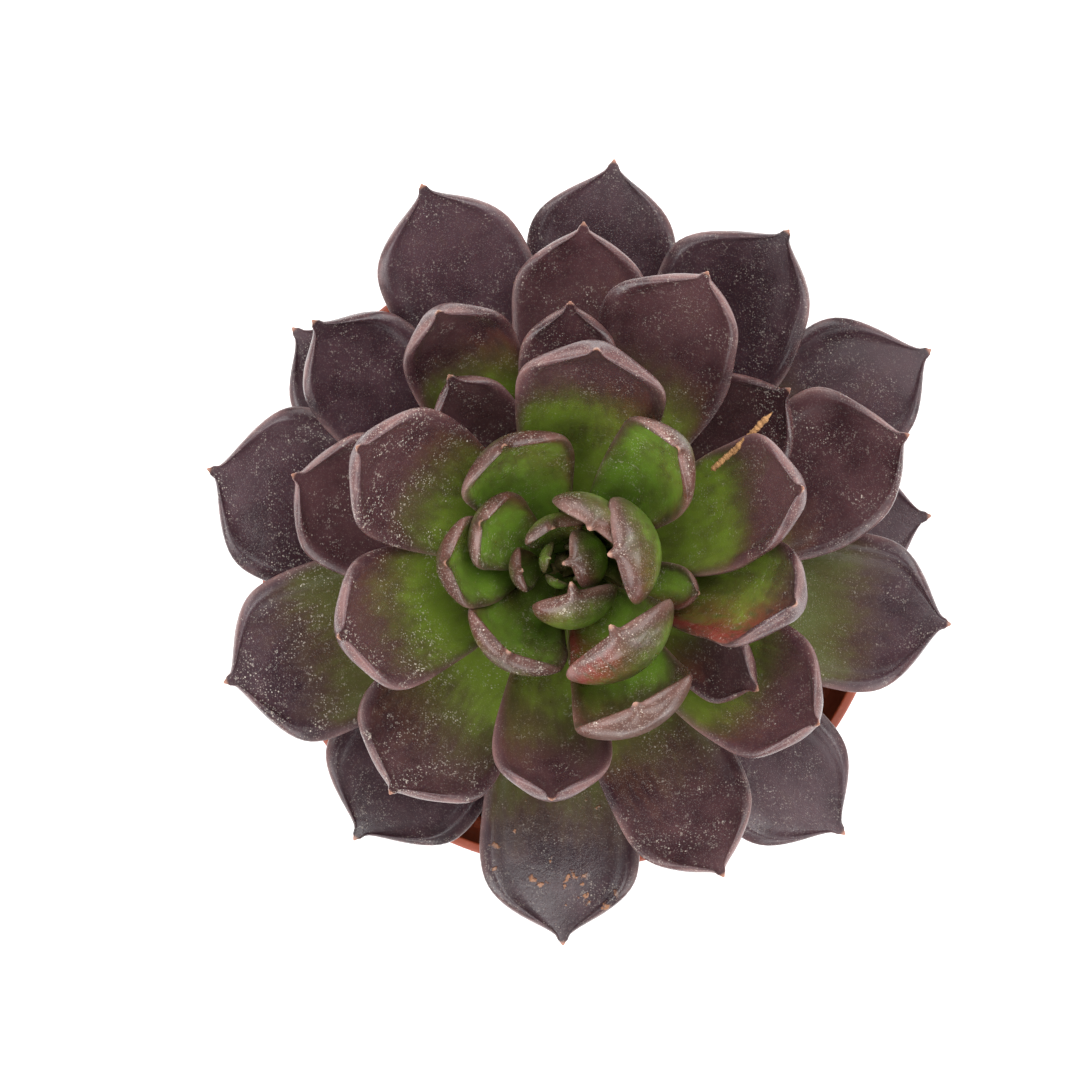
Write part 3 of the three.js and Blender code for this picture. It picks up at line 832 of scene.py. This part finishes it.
def soil_mound(low, high, random):
    """Points and faces of the soil's body, with the radius and height of its edge and a function for the
    mound's height at a share of the way in."""
    points, _ = joined_points("potting_soil")
    radius = np.hypot(points[:, 0], points[:, 1])
    edge_radius = radius.max()
    edge = points[radius > edge_radius - SAME][:, 2].max()
    bed_radius = radius[points[:, 2] < low + SAME].max()

    def mound(share):
        return edge + (high - edge) * smooth(share, *MOUND)

    inward = np.linspace(0, 1, SOIL_RINGS)[1:-1]
    top = [(edge_radius * (1 - u), mound(u)) for u in inward]
    bed = [(bed_radius * u, low) for u in SOIL_BED]
    rise = np.linspace(0, 1, SOIL_SIDE_RINGS)
    side = [(bed_radius + (edge_radius - bed_radius) * u, low + (edge - low) * u) for u in rise]
    points, faces = turned(np.array(bed + side + top + [(0, high)]), SOIL_SEGMENTS)
    reach = np.hypot(points[:, 0], points[:, 1])
    on_top = smooth(points[:, 2], edge - 2 * MM, edge) * smooth(edge_radius - reach, 0, LUMP_FREE)
    lumps = 0.35 * waves(points, random, 10, 2.5 * MM, 7 * MM)
    lumps += 0.5 * waves(points, random, 6, 8 * MM, 20 * MM)
    points[:, 2] += on_top * (lumps - 0.6) * LUMPS
    return points, faces, edge_radius, edge, mound


def loose_crumbs(edge_radius, mound, random):
    """The points of each loose crumb that lies on the soil, and the faces that all of them have."""
    ball, faces = crumb_shape()
    crumbs = []
    for _ in range(CRUMBS):
        angle = random.uniform(0, 2 * np.pi)
        distance = (edge_radius - CRUMB_CLEARANCE) * math.sqrt(random.uniform(0.03, 1))
        size = random.uniform(*CRUMB_SIZE) * MM
        height = mound(1 - distance / edge_radius) - CRUMB_SINK
        stretch = random.uniform(*CRUMB_STRETCH, 3)
        knobs = 1 + 0.25 * waves(ball, random, 3, 1.2, 2.5)[:, None]
        turn = random.uniform(0, 2 * np.pi)
        c, s = math.cos(turn), math.sin(turn)
        spin = np.array([[c, -s, 0], [s, c, 0], [0, 0, 1]])
        place = (distance * math.cos(angle), distance * math.sin(angle), height)
        crumbs.append((ball * knobs * stretch * size) @ spin.T + place)
    return crumbs, faces


def joined(parts, faces):
    """Points and faces of equal parts as one mesh."""
    count = len(parts[0])
    every = [tuple(v + k * count for v in face) for k in range(len(parts)) for face in faces]
    return np.concatenate(parts), every


def build_soil():
    """The soil's body, with loose crumbs on its top. Gives the radius and height of its edge."""
    random = np.random.default_rng(11)
    low, high = (corner.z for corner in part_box("potting_soil"))
    points, faces, edge_radius, edge, mound = soil_mound(low, high, random)
    crumbs, crumb_faces = joined(*loose_crumbs(edge_radius, mound, random))
    faces += [tuple(v + len(points) for v in face) for face in crumb_faces]
    soil = mesh_object("soil_body", np.concatenate([points, crumbs]), faces)
    soil.data.materials.append(soil_material())
    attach(soil, "root")
    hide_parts("potting_soil")
    return edge_radius, edge


def crumb_shape():
    """A small ball of 42 points."""
    bpy.ops.mesh.primitive_ico_sphere_add(subdivisions=2, radius=1)
    ball = bpy.context.object
    points = np.array([v.co for v in ball.data.vertices])
    faces = [tuple(p.vertices) for p in ball.data.polygons]
    bpy.data.objects.remove(ball)
    return points, faces


def tube(path, radii, sides):
    """Points of a round tube along a path, in rows round it."""
    ahead = unit(np.gradient(path, axis=0))
    flat = unit(np.cross(ahead, [0.31, 0.17, 0.93]))
    across = np.cross(ahead, flat)
    angles = np.arange(sides) / sides * 2 * np.pi
    ring = flat[:, None] * np.cos(angles)[None, :, None] + across[:, None] * np.sin(angles)[None, :, None]
    return path[:, None] + ring * np.asarray(radii)[:, None, None]


def build_fibres(edge_radius, edge):
    """Dry root fibres on the soil, near the pot's wall."""
    random = np.random.default_rng(5)
    parts = []
    rows, sides = 16, 6
    share = np.linspace(0, 1, rows)
    limit = edge_radius - FIBRE_CLEARANCE
    for index in range(FIBRES):
        angle = random.uniform(0, 2 * np.pi)
        distance = random.uniform(*FIBRE_ZONE) * edge_radius
        heading = angle + random.uniform(0.7, 2.4)
        step = random.uniform(*FIBRE_LENGTH) * MM / (rows - 1)
        bend = random.uniform(-1.6, 1.6)
        course = heading + bend * share + 0.5 * np.sin(share * 7 + index)
        x = distance * math.cos(angle) + np.cumsum(np.cos(course)) * step
        y = distance * math.sin(angle) + np.cumsum(np.sin(course)) * step
        z = edge + FIBRE_HEIGHT + np.sin(share * np.pi) * random.uniform(*FIBRE_LIFT) * MM
        inside = limit / np.maximum(np.hypot(x, y), limit)
        path = np.stack([x * inside, y * inside, z], axis=1)
        radii = random.uniform(*FIBRE_RADIUS) * MM * (1 - 0.6 * share)
        parts.append(tube(path, radii, sides).reshape(-1, 3))
    fibres = mesh_object("root_fibres", *joined(parts, loft_faces(rows, sides)))
    fibres.data.materials.append(fibre_material("root_fibre", srgb(176, 136, 96), srgb(96, 62, 40)))
    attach(fibres, "root")


def build_stem():
    """The stem, with shallow scars where leaves have sat. Gives its axis."""
    points, _ = joined_points("stem")
    x, y = (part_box("stem")[0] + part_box("stem")[1])[:2]
    axis = np.array([x / 2, y / 2, 0])
    radius = np.hypot(points[:, 0] - axis[0], points[:, 1] - axis[1])
    heights = heights_of(points)
    widths = [float(radius[np.abs(points[:, 2] - z) < SAME].max()) for z in heights]
    z = np.linspace(heights[0], heights[-1], STEM_RINGS)
    side = [(max(np.interp(h, heights, widths), STEM_TIP), h) for h in z]
    made, faces = turned(np.array([(0, z[0])] + side + [(0, z[-1])]), STEM_SEGMENTS)
    angle = np.arctan2(made[:, 1], made[:, 0])
    spiral = np.sin(5 * angle + made[:, 2] / MM * 1.1) * np.sin(8 * angle - made[:, 2] / MM * 0.9)
    scar = smooth(spiral, 0.55, 0.85)
    bark = 1 + waves(made, np.random.default_rng(3), 8, 2 * MM, 6 * MM)
    inward = (SCAR_DEPTH * scar + BARK_DEPTH * bark) * MM
    reach = np.hypot(made[:, 0], made[:, 1])
    made[:, :2] *= (1 - inward / np.maximum(reach, 1 * MM))[:, None]
    stem = mesh_object("stem_body", made + axis, faces, dict(scar=scar))
    stem.data.materials.append(stem_material())
    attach(stem, "root")
    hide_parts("stem")
    return axis


def build_twig():
    """The dry twig: knotty, notched all along and pointed at its upper end."""
    points, _ = joined_points("dry_twig")
    middle = points.mean(0)
    way = np.linalg.svd(points - middle)[2][0]
    way = way if way[0] > 0 else -way
    reach = (points - middle) @ way
    low, high = middle + way * reach.min(), middle + way * reach.max()
    girth = np.linalg.norm((points - middle) - reach[:, None] * way, axis=1).max()
    random = np.random.default_rng(8)
    share = np.linspace(0, 1, TWIG_ROWS)
    bow = np.sin(share * np.pi) * TWIG_BOW + np.sin(share * 21) * TWIG_WAVE
    path = low + (high - low) * share[:, None] + unit(np.cross(way, [0, 0, 1.0])) * bow[:, None]
    knots = 0.75 + 0.2 * np.abs(np.sin(share * 40 + 0.8 * np.sin(share * 9)))
    knots += 0.1 * random.uniform(-1, 1, TWIG_ROWS)
    ends = np.clip(np.minimum(share * 25, (1 - share) * 9), 0.12, 1)
    grid = tube(path, girth * TWIG_GIRTH * knots * ends, TWIG_SIDES)
    notches = 1 + TWIG_NOTCHES * random.uniform(-1, 1, grid.shape[:2])
    centre = path[:, None]
    grid = centre + (grid - centre) * notches[..., None]
    twig = mesh_object("twig_body", grid.reshape(-1, 3), loft_faces(TWIG_ROWS, TWIG_SIDES))
    twig.data.materials.append(fibre_material("twig", srgb(168, 126, 84), srgb(100, 66, 40)))
    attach(twig, "root")
    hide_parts("dry_twig")


# ---- Putting it together ----

LEAF_MATERIALS = {
    "outer": leaf_material("outer_leaf_skin", srgb(36, 22, 27), srgb(64, 43, 49), srgb(78, 84, 44), 0.15),
    "middle": leaf_material("middle_leaf_skin", srgb(42, 24, 28), srgb(74, 48, 51), srgb(104, 124, 40), 0.2),
    "inner": leaf_material("inner_leaf_skin", srgb(52, 34, 28), srgb(86, 60, 48), srgb(100, 130, 40), 0.2),
    "bud": leaf_material("bud_leaf_skin", srgb(70, 52, 34), srgb(96, 72, 46), srgb(100, 134, 42), 0.1),
}

axis = build_stem()
leaf_nodes = sorted(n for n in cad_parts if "_leaf_" in n)
for seed, node in enumerate(leaf_nodes):
    leaf = build_leaf(node, axis, seed)
    leaf.data.materials.append(LEAF_MATERIALS[node.split("_")[0]])
build_pot()
build_fibres(*build_soil())
build_twig()

# ---- Floor, light and camera ----

FLOOR_REACH = 6.0
LIGHTS_AIM = (0, 0, 0.1)
# Where each light stands, its size and its power in watts.
MAIN_LIGHTS = {
    "key": ((0.25, 0.35, 1.1), 0.6, 8),
    "fill": ((-0.5, -0.3, 0.9), 0.6, 4),
}
SIDE_LIGHTS, SIDE_LIGHTS_START = 5, math.radians(200)
SIDE_LIGHT_REACH, SIDE_LIGHT_HEIGHT = 0.7, 0.52
SIDE_LIGHT_SIZE, SIDE_LIGHT_POWER = 0.45, 3.2
WORLD_STRENGTH = 0.65
CAMERA_ABOVE_RIM = 0.5
FRAME_WIDTH = 0.1776  # what the camera sees at the rim's height
CAMERA_OFFSET = (-5.76 * MM, 2.48 * MM)  # from the pot's axis


def build_floor():
    side = FLOOR_REACH
    corners = [(-side, -side, 0), (side, -side, 0), (side, side, 0), (-side, side, 0)]
    floor = mesh_object("floor", corners, [(0, 1, 2, 3)])
    floor.data.materials.append(floor_material())


def add_light(name, place, size, power):
    data = bpy.data.lights.new(name, "AREA")
    data.shape, data.size, data.energy = "SQUARE", size, power
    light = bpy.data.objects.new(name, data)
    bpy.context.scene.collection.objects.link(light)
    light.location = place
    aim = np.array(LIGHTS_AIM) - np.array(place)
    light.rotation_euler = Vector(aim).to_track_quat("-Z", "Y").to_euler()


def build_lights():
    """A key and a fill light, a ring of weak ones at the sides and a pale surround."""
    for name, (place, size, power) in MAIN_LIGHTS.items():
        add_light(name, place, size, power)
    for index in range(SIDE_LIGHTS):
        angle = SIDE_LIGHTS_START + index * 2 * math.pi / SIDE_LIGHTS
        x, y = SIDE_LIGHT_REACH * math.cos(angle), SIDE_LIGHT_REACH * math.sin(angle)
        add_light(f"side_{index}", (x, y, SIDE_LIGHT_HEIGHT), SIDE_LIGHT_SIZE, SIDE_LIGHT_POWER)
    world = bpy.data.worlds.new("studio")
    world.use_nodes = True
    background = world.node_tree.nodes["Background"]
    background.inputs["Color"].default_value = (1, 1, 1, 1)
    background.inputs["Strength"].default_value = WORLD_STRENGTH
    bpy.context.scene.world = world


def build_camera():
    data = bpy.data.cameras.new("camera")
    data.angle = 2 * math.atan(FRAME_WIDTH / 2 / CAMERA_ABOVE_RIM)
    camera = bpy.data.objects.new("camera", data)
    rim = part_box("nursery_pot")[1].z
    camera.location = (*CAMERA_OFFSET, rim + CAMERA_ABOVE_RIM)
    data.clip_start, data.clip_end = 0.02, 20
    bpy.context.scene.collection.objects.link(camera)
    bpy.context.scene.camera = camera


build_floor()
build_lights()
build_camera()
bpy.context.scene.view_settings.view_transform = "Standard"
